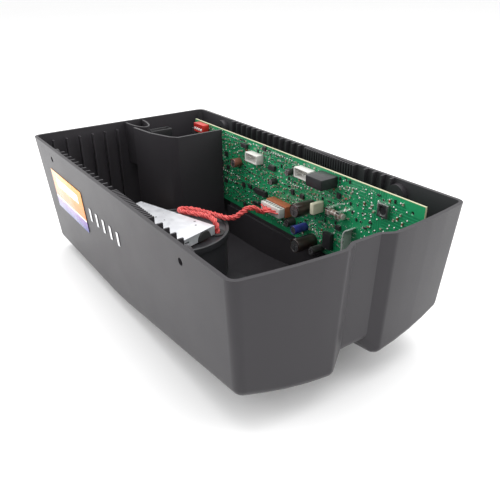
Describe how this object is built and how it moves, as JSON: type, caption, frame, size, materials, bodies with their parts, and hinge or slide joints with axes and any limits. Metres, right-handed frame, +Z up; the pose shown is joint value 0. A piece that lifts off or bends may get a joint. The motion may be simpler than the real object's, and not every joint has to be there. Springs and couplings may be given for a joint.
{
  "type": "garage door opener head",
  "caption": "Motor head of a garage door opener, open side up: black hood holding an upright green circuit board, a flat motor under a zinc plate and a red loom.",
  "frame": {"origin": "centre of the base of the bounding box, under the ridges that the hood lies on", "axes": "+X across the hood towards the circuit board, +Y along the hood away from its bowed and channelled end, +Z up out of the open side"},
  "size_m": [0.1998, 0.382, 0.124],
  "materials": {
    "hood_plastic": "satin, fine moulded grain",
    "label_film": "glossy printed film with a blue-violet foot strip",
    "marking_white": "printed white",
    "board_green": "solder-masked glass fibre",
    "relay_black": "satin",
    "header_orange": "satin",
    "connector_white": "satin",
    "capacitor_brown": "shrink sleeve with bare aluminium ends",
    "capacitor_blue": "shrink sleeve with a bare aluminium end",
    "small_capacitor_grey": "shrink sleeves with bare aluminium ends",
    "fuse_body": "glazed tube with bands",
    "tinned_metal": "tinned",
    "film_cream": "satin",
    "galvanised_strip": "galvanised",
    "chip_black": "moulded epoxy",
    "small_part_mix": "soldered small parts",
    "window_metal": "satin",
    "switch_red": "satin",
    "slider_white": "satin",
    "button_red": "satin",
    "button_cream": "satin",
    "socket_black": "satin",
    "contact_tinned": "tinned",
    "winding_wrap": "overlapping polyester tape over copper on a steel core",
    "zinc_plate": "bright zinc plating with fine specks",
    "rubber_black": "matt",
    "motor_plastic": "satin",
    "screw_steel": "zinc plated",
    "core_steel": "laminated electrical steel",
    "coil_copper": "enamelled copper wire",
    "bearing_steel": "ground",
    "rotor_steel": "pressed steel",
    "magnet_dark": "ferrite",
    "shaft_steel": "ground",
    "gear_steel": "machined",
    "bushing_bronze": "sintered bronze",
    "loom_red": "twisted insulated wires"
  },
  "bodies": {
    "head": {"hood": "hood_plastic", "label_sticker": "label_film", "marking_bars": "marking_white", "circuit_board": "board_green", "relay": "relay_black", "motor_header": "header_orange", "loom_plug": "connector_white", "signal_headers": "connector_white", "main_capacitors": "capacitor_brown", "blue_capacitor": "capacitor_blue", "small_capacitors": "small_capacitor_grey", "fuse": "fuse_body", "fuse_clips": "tinned_metal", "film_capacitor": "film_cream", "heat_bracket": "galvanised_strip", "power_transistor": "chip_black", "logic_chips": "chip_black", "small_parts": "small_part_mix", "lamp_window": "window_metal", "switch_block": "switch_red", "button_housings": "chip_black", "mains_socket": "socket_black", "socket_contacts": "contact_tinned", "transformer_ring": "winding_wrap", "transformer_pad": "rubber_black", "transformer_dish": "zinc_plate", "transformer_bolt": "screw_steel", "motor_housing": "motor_plastic", "motor_screws": "screw_steel", "motor_lid": "motor_plastic", "lid_screws": "screw_steel", "stator_core": "core_steel", "stator_coils": "coil_copper", "hall_board": "board_green", "motor_bearings": "bearing_steel", "bracket_plate": "zinc_plate", "plate_standoffs": "screw_steel", "arch_buffer": "rubber_black", "output_bushings": "bushing_bronze", "wire_grommet": "rubber_black", "motor_loom": "loom_red"},
    "rotor": {"rotor_cup": "rotor_steel", "rotor_magnets": "magnet_dark", "motor_shaft": "shaft_steel", "motor_pinion": "gear_steel"},
    "output": {"output_gear": "gear_steel", "output_shaft": "shaft_steel", "output_circlip": "core_steel"},
    "slider_1": {"slider_1": "slider_white"},
    "slider_2": {"slider_2": "slider_white"},
    "slider_3": {"slider_3": "slider_white"},
    "slider_4": {"slider_4": "slider_white"},
    "learn_button": {"learn_button": "button_red"},
    "test_button": {"test_button": "button_cream"}
  },
  "joints": [
    {"name": "rotor_spin", "type": "hinge", "parent": "head", "child": "rotor", "pos_m": [-0.033, 0.015, 0.06], "axis": [0, 0, 1], "continuous": true},
    {"name": "output_spin", "type": "hinge", "parent": "head", "child": "output", "pos_m": [-0.06402, 0.02047, 0.07], "axis": [0, 0, 1], "continuous": true},
    {"name": "slider_1_slide", "type": "slide", "parent": "head", "child": "slider_1", "axis": [0, 0, 1], "range_m": [0, 0.002]},
    {"name": "slider_2_slide", "type": "slide", "parent": "head", "child": "slider_2", "axis": [0, 0, 1], "range_m": [0, 0.002]},
    {"name": "slider_3_slide", "type": "slide", "parent": "head", "child": "slider_3", "axis": [0, 0, 1], "range_m": [0, 0.002]},
    {"name": "slider_4_slide", "type": "slide", "parent": "head", "child": "slider_4", "axis": [0, 0, 1], "range_m": [0, 0.002]},
    {"name": "learn_button_press", "type": "slide", "parent": "head", "child": "learn_button", "axis": [1, 0, 0], "range_m": [0, 0.0004], "stiffness_N_per_m": 400},
    {"name": "test_button_press", "type": "slide", "parent": "head", "child": "test_button", "axis": [1, 0, 0], "range_m": [0, 0.0004], "stiffness_N_per_m": 400}
  ],
  "couplings": [
    {"joint": "output_spin", "follows": "rotor_spin", "ratio": -0.4}
  ]
}
